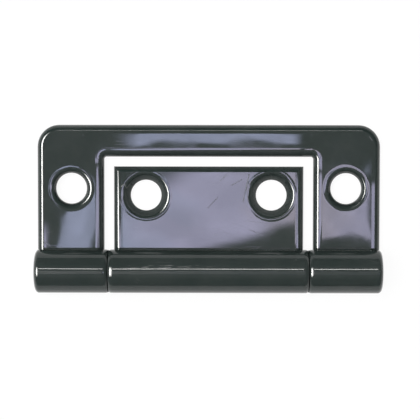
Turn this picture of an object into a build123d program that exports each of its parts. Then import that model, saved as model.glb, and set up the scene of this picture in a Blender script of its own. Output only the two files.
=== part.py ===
from build123d import *
import os
from math import asin, degrees, radians, tan

# A flush butt hinge in enamelled steel, closed: the inner leaf nests in the outer leaf's window.
# It lies on its back. +X runs along the pin, +Y from the pin to the free edges,
# and +Z up, out of the face that carries the barrel. The origin is the middle of
# the closed hinge's footprint, on the surface that it lies on. Millimetres.

# Driving dimensions: the leaves
leaf_length = 50.0  # along the pin
sheet = 1.5  # steel of both leaves
outer_reach = 21.2  # pin axis to the outer leaf's free edge
bar_width = 4.65  # outer leaf beyond the window
arm_width = 9.75  # outer leaf beside the window
leaf_gap = 1.4  # between the two leaves, round three sides of the window
outer_corner_radius = 3.2
window_corner_radius = 0.35
face_rounding = 0.85  # edges of the face
back_rounding = 0.55  # edges of the back, and ends of the barrel
face_share = 0.57  # most of the sheet's thickness that the rounded face may take
back_share = 0.37  # and the rounded back

# Driving dimensions: the barrel
pin_diameter = 3.2
running_clearance = 0.05  # pin to bore, on the radius
shoulder_width = 0.75  # by which an end knuckle is wider than its arm
knuckle_gap = 0.12  # between neighbouring knuckles
knuckle_taper = 0.3  # length of the eased end where one knuckle faces another
knuckle_drop = 0.09  # and its depth
mouth_chamfer = 0.5  # round the bore, at the ends of the barrel
shoulder_reach = 2.6  # pin axis to where a leaf widens into its knuckle
seam_gap = 0.2  # rolled edge to the face of its own leaf
pin_recess = 0.3  # rim of the pin's peened end, inside the end of the barrel
pin_dome = 0.2  # rise of the peened end over its rim

# Driving dimensions: the screw holes
hole_diameter = 4.5
countersink_diameter = 6.3
countersink_angle = 90
countersink_rounding = 0.6  # of its lip
dish_width = 0.9  # rounded rim on the side away from the screw's head, on the outer leaf
dish_depth = 0.3
outer_hole_inset = 5.0  # from the outer leaf's ends
outer_hole_setback = 9.25  # from its free edge
inner_hole_inset = 4.7  # from the inner leaf's sides
inner_hole_setback = 4.2  # from its free edge

# Derived sizes and places
bore_radius = pin_diameter / 2 + running_clearance
barrel_radius = bore_radius + sheet
pin_y = (barrel_radius - outer_reach) / 2
shoulder_y = pin_y + shoulder_reach
window_reach = outer_reach - bar_width
inner_reach = window_reach - leaf_gap
window_width = leaf_length - 2 * arm_width
inner_width = window_width - 2 * leaf_gap
end_knuckle_length = arm_width + shoulder_width
centre_knuckle_length = leaf_length - 2 * (end_knuckle_length + knuckle_gap)
face_radius = min(face_rounding, face_share * sheet)
back_radius = min(back_rounding, back_share * sheet)
outer_hole_y = pin_y + outer_reach - outer_hole_setback
inner_hole_y = pin_y + inner_reach - inner_hole_setback


def rolled_knuckle(start, length, facing_ends):
    """The tail of a leaf, rolled up and over the pin until its edge nearly meets the leaf's own face.

    Its right end faces another knuckle, or both ends do.
    """
    side_view = Plane(origin=(start, pin_y, barrel_radius), x_dir=(0, 1, 0), z_dir=(1, 0, 0))
    edge_angle = degrees(asin((bore_radius - seam_gap) / barrel_radius))
    roll_angle = -270 - edge_angle
    with BuildPart() as knuckle:
        with BuildSketch(side_view):
            with BuildLine():
                outside = CenterArc((0, 0), barrel_radius, 270, roll_angle)
                inside = CenterArc((0, 0), bore_radius, 270, roll_angle)
                Line(outside @ 1, inside @ 1)
                tail_back = (shoulder_reach, -barrel_radius)
                tail_face = (shoulder_reach, -bore_radius)
                Polyline(outside @ 0, tail_back, tail_face, inside @ 0)
            make_face()
        extrude(amount=length)
        for side in range(facing_ends):
            outside_rims = knuckle.edges().filter_by(GeomType.CIRCLE).group_by(SortBy.RADIUS)[-1]
            end_face = knuckle.faces().sort_by(Axis.X)[side - 1]
            chamfer(outside_rims.sort_by(Axis.X)[side - 1], knuckle_drop, knuckle_taper, reference=end_face)
    return knuckle.part


def round_rims(leaf):
    """Rounds a flat leaf's edges on its face and back, apart from the end that runs on into the barrel."""
    for side, radius in ((-1, face_radius), (0, back_radius)):
        rim = leaf.faces().sort_by(Axis.Z)[side].edges()
        fillet(rim - rim.group_by(Axis.Y)[0], radius)


def cut_screw_holes(head_side, spacing, rim):
    """Cuts two screw holes in line along X, countersunk from the plane given, with a rounded rim."""
    with Locations(head_side):
        with GridLocations(spacing, 0, 2, 1):
            CounterSinkHole(hole_diameter / 2, countersink_diameter / 2, sheet, countersink_angle)
            add(rim, mode=Mode.SUBTRACT)


# The left end knuckle: rounded at the end of the barrel, and its bore opened out for the pin's peened end
with BuildPart() as end_knuckle:
    add(rolled_knuckle(-leaf_length / 2, end_knuckle_length, 1))
    for rank, ease, size in ((-1, fillet, back_radius), (0, chamfer, mouth_chamfer)):
        end_rims = end_knuckle.edges().filter_by(GeomType.CIRCLE).group_by(Axis.X)[0]
        ease(end_rims.sort_by(SortBy.RADIUS)[rank], size)

centre_knuckle = rolled_knuckle(-centre_knuckle_length / 2, centre_knuckle_length, 2)

# What rounds the lip of a countersink, which is at z = 0
with BuildPart() as lip:
    with BuildSketch(Plane.XZ):
        with BuildLine():
            lip_angle = 90 - countersink_angle / 2
            lip_setback = countersink_rounding * tan(radians(lip_angle / 2))
            lip_centre = (countersink_diameter / 2 + lip_setback, -countersink_rounding)
            curve = CenterArc(lip_centre, countersink_rounding, 90, lip_angle)
            Polyline(curve @ 0, (0, 0), (0, (curve @ 1).Y), curve @ 1)
        make_face()
    revolve(axis=Axis.Z)

# What dishes the far rim of a hole whose countersink is at z = 0
with BuildPart() as dish:
    with BuildSketch(Plane.XZ):
        with BuildLine():
            dish_centre = (hole_diameter / 2 + dish_width, dish_depth - sheet)
            curve = EllipticalCenterArc(dish_centre, dish_width, dish_depth, 180, arc_size=90)
            Polyline(curve @ 0, (0, dish_depth - sheet), (0, -sheet), curve @ 1)
        make_face()
    revolve(axis=Axis.Z)

# The outer leaf frames the window, with an end knuckle on each arm. Its screws go in from the back
with BuildPart() as outer_leaf:
    with BuildSketch() as outline:
        with Locations((0, shoulder_y)):
            Rectangle(leaf_length, outer_reach - shoulder_reach, align=(Align.CENTER, Align.MIN))
        fillet(outline.vertices().group_by(Axis.Y)[-1], outer_corner_radius)
        with BuildSketch(mode=Mode.SUBTRACT) as window:
            with Locations((0, shoulder_y)):
                Rectangle(window_width, window_reach - shoulder_reach, align=(Align.CENTER, Align.MIN))
            fillet(window.vertices().group_by(Axis.Y)[-1], window_corner_radius)
    extrude(amount=sheet)
    round_rims(outer_leaf)
    add(end_knuckle.part)
    mirror(end_knuckle.part, about=Plane.YZ)
    back = Plane(origin=(0, outer_hole_y, 0), x_dir=(1, 0, 0), z_dir=(0, 0, -1))
    cut_screw_holes(back, leaf_length - 2 * outer_hole_inset, dish.part)
outer_leaf.part.label = "outer_leaf"

# The inner leaf fills the window and has the centre knuckle. Its screws go in from the face
with BuildPart() as inner_leaf:
    with BuildSketch():
        with Locations((0, shoulder_y)):
            Rectangle(inner_width, inner_reach - shoulder_reach, align=(Align.CENTER, Align.MIN))
    extrude(amount=sheet)
    round_rims(inner_leaf)
    add(centre_knuckle)
    face = Plane(origin=(0, inner_hole_y, sheet))
    cut_screw_holes(face, inner_width - 2 * inner_hole_inset, lip.part)
inner_leaf.part.label = "inner_leaf"

# The pin's ends are peened out into the chamfered mouths of the end knuckles
with BuildPart() as hinge_pin:
    pin_side_view = Plane(origin=(0, pin_y, barrel_radius), x_dir=(1, 0, 0), z_dir=(0, -1, 0))
    with BuildSketch(pin_side_view):
        with BuildLine():
            neck = (leaf_length / 2 - mouth_chamfer, pin_diameter / 2)
            head_rim = (leaf_length / 2 - pin_recess, pin_diameter / 2 + mouth_chamfer - pin_recess)
            crown = (leaf_length / 2 - pin_recess + pin_dome, 0)
            TangentArc(crown, head_rim, tangent=(0, 1))
            Polyline(crown, (0, 0), (0, pin_diameter / 2), neck, head_rim)
        make_face()
    revolve(axis=Axis(pin_side_view.origin, (1, 0, 0)))
    mirror(about=Plane.YZ)
hinge_pin.part.label = "hinge_pin"

os.makedirs("parts", exist_ok=True)
export_step(outer_leaf.part, "parts/outer_leaf.step")
export_step(inner_leaf.part, "parts/inner_leaf.step")
export_step(hinge_pin.part, "parts/hinge_pin.step")
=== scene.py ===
import math
import bmesh
import bpy
from mathutils import Euler, Matrix, Vector


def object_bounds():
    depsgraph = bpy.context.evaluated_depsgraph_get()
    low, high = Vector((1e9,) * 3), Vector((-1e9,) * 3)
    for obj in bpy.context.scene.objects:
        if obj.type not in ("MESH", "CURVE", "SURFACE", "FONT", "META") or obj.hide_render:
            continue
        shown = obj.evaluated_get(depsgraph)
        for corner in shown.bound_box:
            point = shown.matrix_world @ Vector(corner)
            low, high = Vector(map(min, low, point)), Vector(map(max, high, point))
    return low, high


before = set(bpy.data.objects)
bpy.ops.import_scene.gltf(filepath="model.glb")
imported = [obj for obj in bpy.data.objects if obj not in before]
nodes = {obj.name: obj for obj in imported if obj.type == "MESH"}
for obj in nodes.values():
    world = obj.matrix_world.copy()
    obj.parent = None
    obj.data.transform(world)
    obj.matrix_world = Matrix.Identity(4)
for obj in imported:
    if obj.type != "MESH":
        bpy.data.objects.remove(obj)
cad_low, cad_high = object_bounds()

MM = 0.001
hinge_middle = (cad_low + cad_high) / 2

# The photograph's camera: nearly straight above, a little towards the free edges
camera_place = Vector((1.5, 8.3, 191.2)) * MM
camera_turn = Euler([math.radians(angle) for angle in (2.57, -0.39, -0.1)])  # hinge's frame to the camera's
camera_lens, camera_sensor = 111.7, 36
camera_clip = 10 * MM

# The white stage: a floor whose rim curves up into a low wall
floor_drop = 0.02 * MM  # keeps the floor just clear of the hinge's back
floor_radius = 2.2
cove_radius, cove_steps = 0.3, 8
wall_height = 0.5
stage_sides = 64
floor_bounce = 0.8  # how pale the floor is to the light that it passes on
floor_glow, floor_shaded = 0.93, 0.1  # what the camera sees: its own white, and what takes the shadow

# The lamps
softbox_distance = 0.6
cloud_size, drift_size = 0.3, 0.4  # of the clouds and of the drift of colours, as shares of a softbox
sky_from, sky_full = 0.75, 0.98  # cosines of the angles from straight up between which the world brightens

# The leaves in plan, from the CAD box and the part's own sizes
leaf_half, leaf_far = cad_high.x, cad_high.y
arm_width, bar_width = 9.75 * MM, 4.65 * MM  # of the outer leaf, beside and beyond its window
leaf_gap = 1.4 * MM
window_half, window_far = leaf_half - arm_width, leaf_far - bar_width
window_corner = 0.35 * MM
inner_half, inner_far = window_half - leaf_gap, window_far - leaf_gap
face_height = 1.5 * MM  # flat faces of both leaves
edge_rounding = 0.85 * MM
outer_hole_inset = Vector((5, 9.25)) * MM  # from the leaf's side and from its free edge
inner_hole_inset = Vector((4.7, 4.2)) * MM
outer_hole = Vector((leaf_half, leaf_far)) - outer_hole_inset
inner_hole = Vector((inner_half, inner_far)) - inner_hole_inset
outer_hole_rim, inner_hole_rim = 3.15 * MM, 3.4 * MM  # radii at which the face starts to turn in
countersink_slope = math.radians(45)

# The barrel
barrel_width = 6.3 * MM
barrel_far = barrel_width - leaf_far  # its side towards the leaves
barrel_foot, barrel_flank = 1.6 * MM, 2.6 * MM  # heights between which a leaf becomes its barrel
end_knuckle_length, knuckle_gap = 10.5 * MM, 0.12 * MM
outer_knuckle_start = leaf_half - end_knuckle_length
inner_knuckle_end = outer_knuckle_start - knuckle_gap
joint_middle = outer_knuckle_start - knuckle_gap / 2

# How the CAD meshes are shaded smooth
weld_reach = 0.001 * MM
flat_angle, corner_angle = math.radians(0.2), math.radians(17)

# The coat's slight falls, each by its reach from where an edge's rounding starts, and its radius
edge_fall = (0.45 * MM, 6 * MM)
hole_fall = (0.3 * MM, 8 * MM)
rim_fall = (-0.32 * MM, 0.45 * MM)  # inside the rim of the outer leaf's holes
end_fall = (0.8 * MM, 1.6 * MM)  # towards the ends of a knuckle
corner_blend = 4 * MM  # of the falls that meet at the outer leaf's corners
bead_place, bead_half, bead_rise = 0.15 * MM, 0.35 * MM, 0.01 * MM  # of enamel, round a countersink
uneven_size, uneven_width = 4 * MM, 0.5 * MM  # by which the falls round holes wander

# The coat's waves and orange peel
wave_size, wave_depth = 12 * MM, 0.05 * MM
peel_size, peel_depth = 1.2 * MM, 0.0003 * MM

# Faults and wear of the coat. A level is how strongly they show, from 0 to 1
hairline_sets = ((24, 2.2 * MM, 14 * MM), (-62, 3.1 * MM, 18 * MM))  # angle in degrees, spacing and run
hairline_share, hairline_patch, hairline_level = 0.012, 5 * MM, 0.5  # width as a share of the spacing
speck_spacing, speck_shares, speck_level = 4 * MM, (0.02, 0.04), 0.6
scuffed_from, scuffed_to, scuffed_fade = -13 * MM, 1.5 * MM, 2 * MM  # along the centre knuckle
scuff_width, scuff_stretch = 0.2 * MM, 10
scuff_facing, scuff_strip = 0.28, (0.06, 0.12)  # how far that strip faces +Y, as a sine, and its half width
crown_facing, crown_strip = 0.025, (0.04, 0.08)  # the same of the barrel's crown, where the coat is worn
crown_clear = (0.5 * MM, 0.8 * MM)  # distances from a knuckle's ends between which that wear starts
streak_width, streak_stretch = 0.6 * MM, 5  # of that wear

# The coat's gloss
enamel_ior = 1.5
shade_size, smudge_size = 5 * MM, 3 * MM
smudge_roughness = (0.02, 0.05)
mark_paleness, mark_roughness = 0.4, 0.3  # added where the coat is marked
worn_roughness, cone_roughness = (0.35, 0.6), 0.25  # added along the crown, and in the countersinks
full_shine, crown_dulling = 0.5, 0.7
slit_clear = (0.07 * MM, 0.09 * MM)  # distances from a joint's middle between which the shine starts
dull_slope, dull_top = (0.02, 0.1), (0.85, 0.92)  # how far the start of a dull edge faces +Y and up
inner_side_reach = (0.7 * MM, MM)  # of the inner leaf's sides, which aren't dull

# Marks of use, each a line through points in plan, in mm, and its width
inner_marks = (
    (((5.9, 5.0), (5.64, 3.88), (5.03, 1.05)), 0.08),
    (((3.26, 3.35), (4.85, 4.23)), 0.06),
    (((-0.11, 0.08), (1.31, 1.59)), 0.06),
    (((-12.7, 3.2), (-12.25, 3.55), (-11.95, 2.95), (-11.5, 3.5)), 0.14),
)
outer_marks = ((((23.35, 10.5), (23.75, 9.95)), 0.12),)
mark_core = 0.3  # share of the width that is marked in full
marked_above = (0.2 * MM, 0.4 * MM)  # heights between which marks appear: the back has none

# Colours, linear
enamel_dark = (0.028, 0.040, 0.037)
enamel_pale = (0.036, 0.048, 0.045)
enamel_chipped = (0.16, 0.17, 0.165)
lilac_light = (0.72, 0.69, 1.0)
rose_light = (0.72, 0.65, 0.82)
blue_light = (0.63, 0.69, 1.0)
white_light = (1.0, 0.99, 0.97)


class Field:
    """A number that varies over a surface: a socket of a node tree, with arithmetic that adds Math nodes."""

    def __init__(self, tree, socket):
        self.tree = tree
        self.socket = socket

    def math(self, operation, *others):
        node = self.tree.nodes.new("ShaderNodeMath")
        node.operation = operation
        for socket, value in zip(node.inputs, (self, *others)):
            if isinstance(value, Field):
                self.tree.links.new(value.socket, socket)
            else:
                socket.default_value = value
        return Field(self.tree, node.outputs[0])

    def __add__(self, other):
        return self.math("ADD", other)

    def __sub__(self, other):
        return self.math("SUBTRACT", other)

    def __rsub__(self, other):
        return self.math("MULTIPLY_ADD", -1.0, other)

    def __mul__(self, other):
        return self.math("MULTIPLY", other)

    def __abs__(self):
        return self.math("ABSOLUTE")

    def at_least(self, other):
        return self.math("MAXIMUM", other)

    def at_most(self, other):
        return self.math("MINIMUM", other)

    def ranged(self, from_min, from_max, to_min=0.0, to_max=1.0):
        """Maps it smoothly from one range to another."""
        node = self.tree.nodes.new("ShaderNodeMapRange")
        node.interpolation_type = "SMOOTHSTEP"
        limits = {"From Min": from_min, "From Max": from_max, "To Min": to_min, "To Max": to_max}
        for name, value in limits.items():
            node.inputs[name].default_value = value
        self.tree.links.new(self.socket, node.inputs["Value"])
        return Field(self.tree, node.outputs[0])

    def fading(self, full, none, level=1.0):
        """Falls smoothly from a level, where it is full, to 0, where it is none."""
        return self.ranged(full, none, level, 0.0)

    def ramp(self, colours):
        """Colours spread evenly from 0 to 1 of it."""
        node = self.tree.nodes.new("ShaderNodeValToRGB")
        stops = node.color_ramp.elements
        while len(stops) < len(colours):
            stops.new(0.5)
        for index, (stop, colour) in enumerate(zip(stops, colours)):
            stop.position = index / (len(colours) - 1)
            stop.color = (*colour, 1)
        self.tree.links.new(self.socket, node.inputs["Fac"])
        return node.outputs["Color"]


def length(across, along):
    return (across * across + along * along).math("SQRT")


def axes(tree, vector):
    """The three parts of a vector."""
    split = tree.nodes.new("ShaderNodeSeparateXYZ")
    tree.links.new(vector, split.inputs[0])
    return [Field(tree, part) for part in split.outputs]


def noise(tree, coords, size, detail=2.0):
    """Noise from 0 to 1 with features of about this size."""
    node = tree.nodes.new("ShaderNodeTexNoise")
    node.inputs["Scale"].default_value = 1 / size
    node.inputs["Detail"].default_value = detail
    tree.links.new(coords, node.inputs["Vector"])
    return Field(tree, node.outputs["Fac"])


def cells(tree, coords, feature):
    """Distance from the middle, or from the edge, of cells about 1 across."""
    node = tree.nodes.new("ShaderNodeTexVoronoi")
    node.feature = feature
    node.inputs["Scale"].default_value = 1.0
    tree.links.new(coords, node.inputs["Vector"])
    return Field(tree, node.outputs["Distance"])


def mapped(tree, coords, angle, scale):
    """Coordinates turned about Z and scaled."""
    node = tree.nodes.new("ShaderNodeMapping")
    node.inputs["Rotation"].default_value = (0, 0, math.radians(angle))
    node.inputs["Scale"].default_value = scale
    tree.links.new(coords, node.inputs["Vector"])
    return node.outputs[0]


def bump(height, depth, under=None):
    """Raises the surface by height times depth in metres, over another bump."""
    tree = height.tree
    node = tree.nodes.new("ShaderNodeBump")
    node.inputs["Distance"].default_value = depth
    tree.links.new(height.socket, node.inputs["Height"])
    if under:
        tree.links.new(under, node.inputs["Normal"])
    return node.outputs["Normal"]


class Surface:
    """Where the points of a CAD piece lie at rest and which way they face, as fields of its material."""

    def __init__(self, tree):
        own_space = tree.nodes.new("ShaderNodeTexCoord").outputs
        self.tree = tree
        self.coords = own_space["Object"]
        self.x, self.y, self.up = axes(tree, self.coords)
        self.facing_x, self.facing_y, self.facing_up = axes(tree, own_space["Normal"])
        self.side = abs(self.x)
        self.on_leaf = self.up.fading(barrel_foot, barrel_flank)
        self.on_barrel = 1.0 - self.on_leaf
        self.from_joint = abs(self.side - joint_middle)

    def noise(self, size, detail=2.0):
        return noise(self.tree, self.coords, size, detail)

    def streaks(self, width, stretch, detail):
        """Noise drawn out along X."""
        return noise(self.tree, mapped(self.tree, self.coords, 0, (1 / stretch, 1, 1)), width, detail)


def hairlines(at, angle, spacing, run):
    """Fine broken scratches in one direction across the leaves, from 0 to 1."""
    drawn = mapped(at.tree, at.coords, angle, (1 / run, 1 / spacing, 1 / run))
    line = cells(at.tree, drawn, "DISTANCE_TO_EDGE").fading(0.0, hairline_share)
    return line * at.noise(hairline_patch).ranged(0.6, 0.75)


def specks(at):
    """Small round specks in the coat, from 0 to 1."""
    spread = mapped(at.tree, at.coords, 0, [1 / speck_spacing] * 3)
    return cells(at.tree, spread, "F1").fading(*speck_shares)


def from_line(x, y, start, end):
    """Distance in plan from the line between two points."""
    run = end - start
    across, along = x - start.x, y - start.y
    share = ((across * run.x + along * run.y) * (1 / run.length_squared)).at_least(0.0).at_most(1.0)
    return length(across - share * run.x, along - share * run.y)


def drawn_marks(at, marks):
    """The marks of use on a leaf's face, from 0 to 1."""
    drawn = None
    for points, width in marks:
        corners = [Vector(point) * MM for point in points]
        for start, end in zip(corners, corners[1:]):
            mark = from_line(at.x, at.y, start, end).fading(mark_core * width * MM, width * MM)
            drawn = drawn.at_least(mark) if drawn else mark
    return drawn * at.up.ranged(*marked_above) * at.on_leaf


def scuffs(at):
    """Streaks of wear along a strip of the centre knuckle, from 0 to 1."""
    streaks = at.streaks(scuff_width, scuff_stretch, 2.0).ranged(0.49, 0.63)
    left = at.x.ranged(scuffed_from, scuffed_from + scuffed_fade)
    right = at.x.ranged(scuffed_to, scuffed_to - scuffed_fade)
    strip = abs(at.facing_y - scuff_facing).fading(*scuff_strip) * at.on_barrel
    return streaks * (left * right) * strip


def all_marks(at, marks, scuffed):
    """Hairlines, specks, marks of use and scuffs, from 0 to 1."""
    lines = [hairlines(at, *spread) for spread in hairline_sets]
    found = lines[0].at_least(lines[1]) * hairline_level
    found = found.at_least(specks(at) * speck_level)
    if marks:
        found = found.at_least(drawn_marks(at, marks))
    if scuffed:
        found = found.at_least(scuffs(at))
    return found


def barrel_crown(at):
    """The worn strip along the top of each knuckle, clear of its ends, from 0 to 1."""
    inside_ends = at.from_joint.at_most(leaf_half - at.side).ranged(*crown_clear)
    return abs(at.facing_y - crown_facing).fading(*crown_strip) * at.on_barrel * inside_ends


def dull_edges(at):
    """Rounded edges that face away from the barrel and not to the left, from 0 to 1.

    Those along the inner leaf's sides aren't dull.
    """
    inner_side = abs(at.side - inner_half).fading(*inner_side_reach) * at.y.fading(inner_far, window_far)
    slope = at.facing_y + at.facing_x.at_most(0.0)
    return slope.ranged(*dull_slope) * at.facing_up.ranged(*dull_top) * at.on_leaf * (1.0 - inner_side)


def fall(distance, shape):
    """How far the surface has dropped, in metres, at a distance from where an edge's rounding starts."""
    reach, radius = shape
    near = (reach - distance).at_least(0.0)
    return near * near * (-0.5 / radius)


def outer_falls(side, forward, uneven):
    """The falls of the outer leaf's face, and those of its knuckles' ends."""
    across, along = side - (window_half - window_corner), forward - (window_far - window_corner)
    window = length(across.at_least(0.0), along.at_least(0.0)) - window_corner
    outline = (leaf_half - side).math("SMOOTH_MIN", leaf_far - forward, corner_blend)
    holes = length(side - outer_hole.x, forward - outer_hole.y) - outer_hole_rim + uneven
    dishes = fall(holes.at_least(0.0), hole_fall) + holes.at_most(0.0) * (hole_fall[0] / hole_fall[1])
    leaf = fall(window.at_most(outline) - edge_rounding, edge_fall) + dishes + fall(holes, rim_fall)
    ends = (side - outer_knuckle_start).at_most(leaf_half - side)
    return leaf, fall(ends, end_fall)


def inner_falls(side, forward, uneven):
    """The falls of the inner leaf's face, and those of its knuckle's ends."""
    holes = length(side - inner_hole.x, forward - inner_hole.y) - inner_hole_rim + uneven
    leaf = fall(inner_half - edge_rounding - side, edge_fall) + fall(holes, hole_fall)
    bead = abs(holes - bead_place).fading(0.0, bead_half, bead_rise)
    return leaf + bead, fall(inner_knuckle_end - side, end_fall)


def coat_colour(at, marked):
    """Patches from dark to pale, which is half way up the ramp, and paler towards chipped at marks."""
    shade = at.noise(shade_size, 4.0).ranged(0.35, 0.65, 0.0, 0.5)
    return (shade + marked * mark_paleness).ramp((enamel_dark, enamel_pale, enamel_chipped))


def coat_roughness(at, marked, crown):
    """Glossy with faint smudges, and duller at marks, along the crown and in the countersinks."""
    smudges = at.noise(smudge_size, 5.0).ranged(0.35, 0.75, *smudge_roughness)
    worn = crown * at.streaks(streak_width, streak_stretch, 3.0).ranged(0.4, 0.6, *worn_roughness)
    from_cone = abs(abs(at.facing_up) - math.cos(countersink_slope))
    cones = from_cone.fading(0.02, 0.05, cone_roughness) * at.on_leaf
    return smudges + marked * mark_roughness + worn + cones


def coat_shine(at, crown):
    """The specular level: none inside the joints, and little on dull edges and along the crown."""
    from_slit = at.from_joint + at.y.at_least(barrel_far) - barrel_far
    shine = from_slit.ranged(*slit_clear, 0.0, full_shine)
    return shine * (1.0 - dull_edges(at)) * (1.0 - crown * crown_dulling)


def coat_normal(at, falls):
    """The way the coat faces, with its falls, waves and orange peel."""
    rounded = None
    if falls:
        uneven = (at.noise(uneven_size) - 0.5) * uneven_width
        leaf, barrel = falls(at.side, at.y, uneven)
        rounded = bump(leaf * at.on_leaf + barrel * at.on_barrel, 1.0)
    waves = bump(at.noise(wave_size, 1.0), wave_depth, rounded)
    return bump(at.noise(peel_size), peel_depth, waves)


def enamel(name, falls=None, marks=(), scuffed=False):
    """Glossy baked enamel on steel: nearly black, slightly green, with a faintly wavy and scratched coat."""
    material = bpy.data.materials.new(name)
    material.use_nodes = True
    tree = material.node_tree
    link = tree.links.new
    shader = tree.nodes["Principled BSDF"].inputs
    shader["IOR"].default_value = enamel_ior
    at = Surface(tree)
    marked = all_marks(at, marks, scuffed)
    crown = barrel_crown(at)
    link(coat_colour(at, marked), shader["Base Color"])
    link(coat_roughness(at, marked, crown).socket, shader["Roughness"])
    link(coat_shine(at, crown).socket, shader["Specular IOR Level"])
    link(coat_normal(at, falls), shader["Normal"])
    return material


def smooth_shading(node):
    """Joins a CAD mesh at its seams and shades it smooth, with flat faces kept flat and corners crisp."""
    weld = node.modifiers.new("weld", "WELD")
    weld.merge_threshold = weld_reach
    flats = node.modifiers.new("flats", "DECIMATE")
    flats.decimate_type = "DISSOLVE"
    flats.angle_limit = flat_angle
    corners = node.modifiers.new("corners", "EDGE_SPLIT")
    corners.split_angle = corner_angle
    corners.use_edge_sharp = False
    normals = node.modifiers.new("normals", "WEIGHTED_NORMAL")
    normals.mode = "FACE_AREA_WITH_ANGLE"
    normals.keep_sharp = False


def stage_mesh():
    """The floor, its cove and the low wall, as a profile turned about Z."""
    profile = [Vector((floor_radius, 0, 0))]
    for step in range(1, cove_steps + 1):
        angle = math.radians(90 * step / cove_steps)
        out, rise = cove_radius * math.sin(angle), cove_radius * (1 - math.cos(angle))
        profile.append(Vector((floor_radius + out, 0, rise)))
    profile.append(Vector((floor_radius + cove_radius, 0, wall_height)))
    shape = bmesh.new()
    rings = []
    for point in profile:
        turns = (Matrix.Rotation(2 * math.pi * step / stage_sides, 3, "Z") for step in range(stage_sides))
        rings.append([shape.verts.new(turn @ point) for turn in turns])
    shape.faces.new(rings[0])
    for low_ring, high_ring in zip(rings, rings[1:]):
        for step in range(stage_sides):
            after = (step + 1) % stage_sides
            shape.faces.new((low_ring[step], low_ring[after], high_ring[after], high_ring[step]))
    mesh = bpy.data.meshes.new("stage")
    shape.to_mesh(mesh)
    shape.free()
    return mesh


def stage_white():
    """White to the camera and in reflections, with a faint shadow, and plainly pale to other light."""
    material = bpy.data.materials.new("white_stage")
    material.use_nodes = True
    tree = material.node_tree
    link = tree.links.new
    tree.nodes.remove(tree.nodes["Principled BSDF"])
    rays = tree.nodes.new("ShaderNodeLightPath").outputs
    seen = Field(tree, rays["Is Camera Ray"])
    for kind in ("Is Glossy Ray", "Is Transmission Ray"):
        seen = seen.at_least(Field(tree, rays[kind]))
    lit, shaded = [tree.nodes.new("ShaderNodeBsdfDiffuse") for _ in range(2)]
    for diffuse, level in ((lit, floor_bounce), (shaded, floor_shaded)):
        diffuse.inputs["Color"].default_value = (level, level, level, 1)
    glow = tree.nodes.new("ShaderNodeEmission")
    glow.inputs["Strength"].default_value = floor_glow
    white = tree.nodes.new("ShaderNodeAddShader")
    pick = tree.nodes.new("ShaderNodeMixShader")
    link(shaded.outputs[0], white.inputs[0])
    link(glow.outputs[0], white.inputs[1])
    link(seen.socket, pick.inputs[0])
    link(lit.outputs[0], pick.inputs[1])
    link(white.outputs[0], pick.inputs[2])
    link(pick.outputs[0], tree.nodes["Material Output"].inputs["Surface"])
    return material


def white_stage():
    """A floor and low wall round the hinge."""
    mesh = stage_mesh()
    mesh.materials.append(stage_white())
    stage = bpy.data.objects.new("stage", mesh)
    stage.location.z = -floor_drop
    bpy.context.scene.collection.objects.link(stage)


def area_lamp(name, place, width, depth, radiance):
    """A rectangular lamp aimed at the hinge, its width along X and its depth along Y."""
    data = bpy.data.lights.new(name, "AREA")
    data.shape = "RECTANGLE"
    data.size = width
    data.size_y = depth
    data.energy = radiance * math.pi * width * depth
    lamp = bpy.data.objects.new(name, data)
    away = (place - hinge_middle).normalized()
    across = Vector((0, 1, 0)).cross(away).normalized()
    turn = Matrix((across, away.cross(across), away)).transposed()
    lamp.matrix_world = Matrix.Translation(place) @ turn.to_4x4()
    lamp.visible_camera = False
    bpy.context.scene.collection.objects.link(lamp)
    return lamp


def key_lamp(place, size, level):
    """A large plain lamp that lights the hinge's own colours. Its coat mirrors the softboxes instead."""
    radiance = level * math.pi * (place - hinge_middle).length_squared / (size * size)
    area_lamp("key_lamp", place, size, size, radiance).visible_glossy = False


def softbox(name, place, width, depth, radiance, colours, fade, cuts, cloud):
    """A rectangular lamp that the coat mirrors, its colours spread from left to right.

    It fades out over a share of its width and of its depth, and clouds dim it to this level in places.
    A cut takes off one side of a slanting line, given by its slope and by where dark and light start.
    """
    lamp = area_lamp(name, place, width, depth, radiance)
    lamp.visible_diffuse = False
    lamp.data.use_nodes = True
    tree = lamp.data.node_tree
    position = tree.nodes.new("ShaderNodeNewGeometry").outputs["Parametric"]
    across, along, _ = axes(tree, position)
    strength = noise(tree, position, cloud_size, 3.0).ranged(0.3, 0.7, cloud, 1.0)
    for from_side, share in zip((across, along), fade):
        strength = strength * from_side.math("PINGPONG", 0.5).ranged(0.0, share)
    for slope, dark_from, light_from in cuts:
        strength = strength * (along - across * slope).ranged(dark_from, light_from)
    emission = tree.nodes["Emission"]
    tree.links.new(strength.socket, emission.inputs["Strength"])
    if len(colours) > 1:
        drift = noise(tree, position, drift_size) - 0.5
        tree.links.new((across + drift).ramp(colours), emission.inputs["Color"])
    else:
        lamp.data.color = colours[0]


def leaning_softbox(name, left, right, front, back, radiance, colour, fade=(0.1, 0.1), cloud=0.8):
    """A softbox that the hinge sees between these angles from straight up, in degrees, to +X and to +Y."""
    lean_x = math.tan(math.radians((left + right) / 2))
    lean_y = math.tan(math.radians((front + back) / 2))
    place = hinge_middle + Vector((lean_x, lean_y, 1)).normalized() * softbox_distance
    width = 2 * softbox_distance * math.tan(math.radians((right - left) / 2))
    depth = 2 * softbox_distance * math.tan(math.radians((back - front) / 2))
    softbox(name, place, width, depth, radiance, (colour,), fade, (), cloud)


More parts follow.
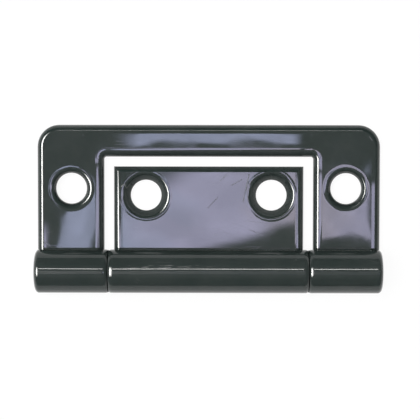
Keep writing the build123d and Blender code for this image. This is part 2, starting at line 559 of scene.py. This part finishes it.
def mirrored_softbox(name, left, right, near, far, radiance, colours, fade, cuts=(), cloud=0.8):
    """A softbox over the hinge that a flat face mirrors to the camera between these edges, in mm."""
    middle = Vector(((left + right) / 2 * MM, (near + far) / 2 * MM, face_height))
    reach = softbox_distance / (camera_place.z - face_height)
    place = middle + (middle - camera_place) * reach
    place.z = face_height + softbox_distance
    spread = (1 + reach) * MM
    width, depth = (right - left) * spread, (far - near) * spread
    softbox(name, place, width, depth, radiance, colours, fade, cuts, cloud)


def studio_world(above, beside):
    """Dim even light from all round, brightest from above."""
    world = bpy.data.worlds.new("studio")
    bpy.context.scene.world = world
    world.use_nodes = True
    tree = world.node_tree
    background = tree.nodes["Background"]
    background.inputs["Color"].default_value = (1, 1, 1, 1)
    direction = axes(tree, tree.nodes.new("ShaderNodeTexCoord").outputs["Generated"])
    strength = direction[2].ranged(sky_from, sky_full, beside, above)
    tree.links.new(strength.socket, background.inputs["Strength"])


def photo_camera():
    data = bpy.data.cameras.new("camera")
    data.sensor_width = camera_sensor
    data.lens = camera_lens
    data.clip_start = camera_clip
    camera = bpy.data.objects.new("camera", data)
    bpy.context.scene.collection.objects.link(camera)
    camera.location = camera_place
    camera.rotation_euler = camera_turn.to_matrix().transposed().to_euler()
    bpy.context.scene.camera = camera


coats = {
    "outer_leaf": enamel("outer_leaf_enamel", outer_falls, outer_marks),
    "inner_leaf": enamel("inner_leaf_enamel", inner_falls, inner_marks, scuffed=True),
    "hinge_pin": enamel("hinge_pin_enamel"),
}
for name, node in nodes.items():
    node.material_slots[0].material = coats[name]
    smooth_shading(node)

white_stage()

# Pale patches that the flat faces mirror
mirrored_softbox(
    "inner_softbox", left=-14.4, right=14.4, near=-8.5, far=5.9, radiance=9.4,
    colours=(blue_light, lilac_light, lilac_light, rose_light), fade=(0.04, 0.04),
    cuts=((0.62, -0.18, -0.06), (1.12, 0.8, 0.3)), cloud=0.75
)
mirrored_softbox(
    "window_softbox", left=-15.2, right=15.2, near=6.1, far=8.3, radiance=8.5,
    colours=(lilac_light,), fade=(0.04, 0.1)
)
mirrored_softbox(
    "right_arm_softbox", left=14.8, right=24.4, near=-5.3, far=6.8, radiance=8.8,
    colours=(rose_light, lilac_light), fade=(0.08, 0.06), cuts=((0.9, 0.64, 0.56), (-1.22, 1.9, 1.8))
)
mirrored_softbox(
    "bar_softbox", left=-13.5, right=14.6, near=9.3, far=11.9, radiance=8.5,
    colours=(blue_light,), fade=(0.12, 0.2)
)
mirrored_softbox(
    "left_arm_softbox", left=-23.3, right=-16.4, near=-8.5, far=4.5, radiance=9,
    colours=(blue_light,), fade=(0.08, 0.1), cuts=((1.27, 0.083, -0.049),), cloud=0.7
)
mirrored_softbox(
    "corner_softbox", left=22.9, right=24, near=5.2, far=7.5, radiance=4,
    colours=(blue_light,), fade=(0.5, 0.5)
)

# Lines and glints of light along the rounded edges, the rims of the holes and the barrel
leaning_softbox(
    "far_left_softbox", left=-16, right=-9.5, front=-6.5, back=-3.3, radiance=8.5, colour=lilac_light,
    fade=(0.1, 0.3)
)
leaning_softbox(
    "left_softbox", left=-49, right=-20, front=-26, back=26, radiance=34, colour=white_light,
    fade=(0.15, 0.35), cloud=1.0
)
leaning_softbox(
    "right_softbox", left=9, right=22, front=-6, back=-0.8, radiance=8.5, colour=lilac_light
)
leaning_softbox(
    "back_softbox", left=-12, right=12, front=14, back=17.5, radiance=15, colour=white_light, cloud=1.0
)

key_lamp(place=Vector((-0.35, 0.1, 0.9)), size=0.7, level=0.7)
studio_world(above=0.45, beside=0.2)
photo_camera()
bpy.context.scene.view_settings.view_transform = "Standard"
